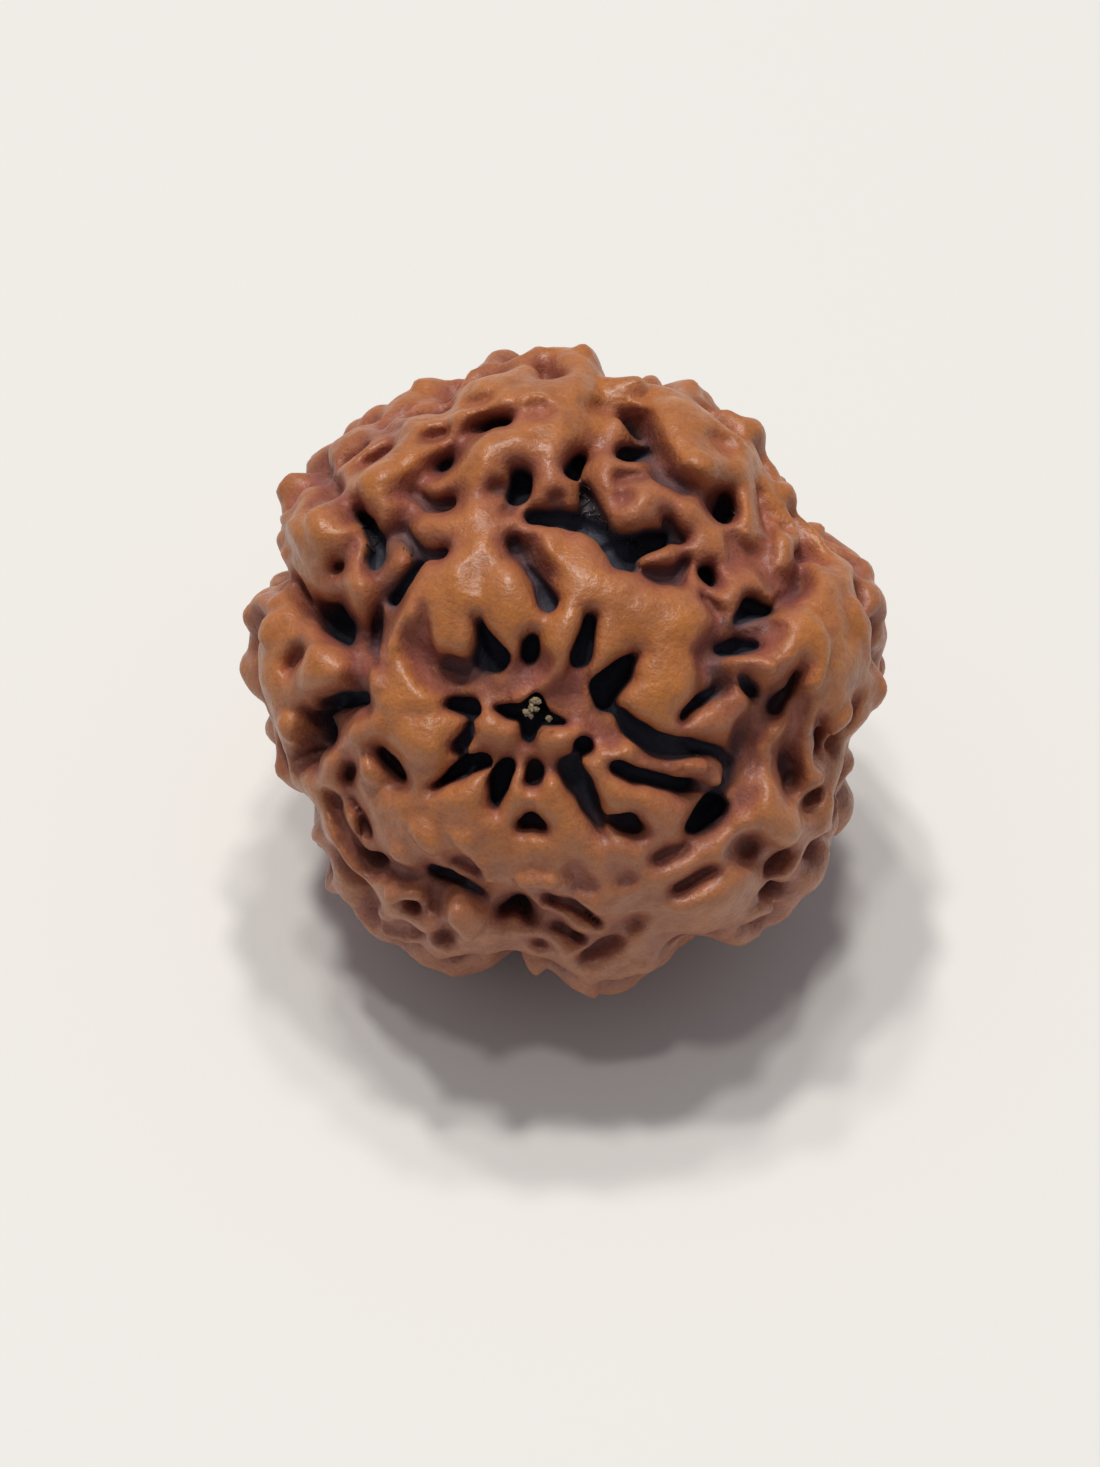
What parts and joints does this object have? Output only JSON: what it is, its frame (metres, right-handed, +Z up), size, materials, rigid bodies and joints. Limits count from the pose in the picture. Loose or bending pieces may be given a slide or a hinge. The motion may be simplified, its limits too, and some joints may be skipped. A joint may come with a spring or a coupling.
{
  "type": "rudraksha bead",
  "caption": "Natural rudraksha seed bead with coarse net-like relief, deep pits, lobes and a star-mouthed natural channel for a cord.",
  "frame": {"origin": "middle of the flat spot that the bead rests on, under its centre", "axes": "+Z up from the surface it rests on; -Y is the side that the star mouth looks to, 50 degrees up; +X is to the right of that view"},
  "size_m": [0.0216, 0.0207, 0.0205],
  "materials": {
    "bead_stone": "dry, slightly waxy woody stone, orange-brown on the ridges and near black in the pits"
  },
  "bodies": {
    "root": {"bead": "bead_stone"}
  },
  "joints": []
}
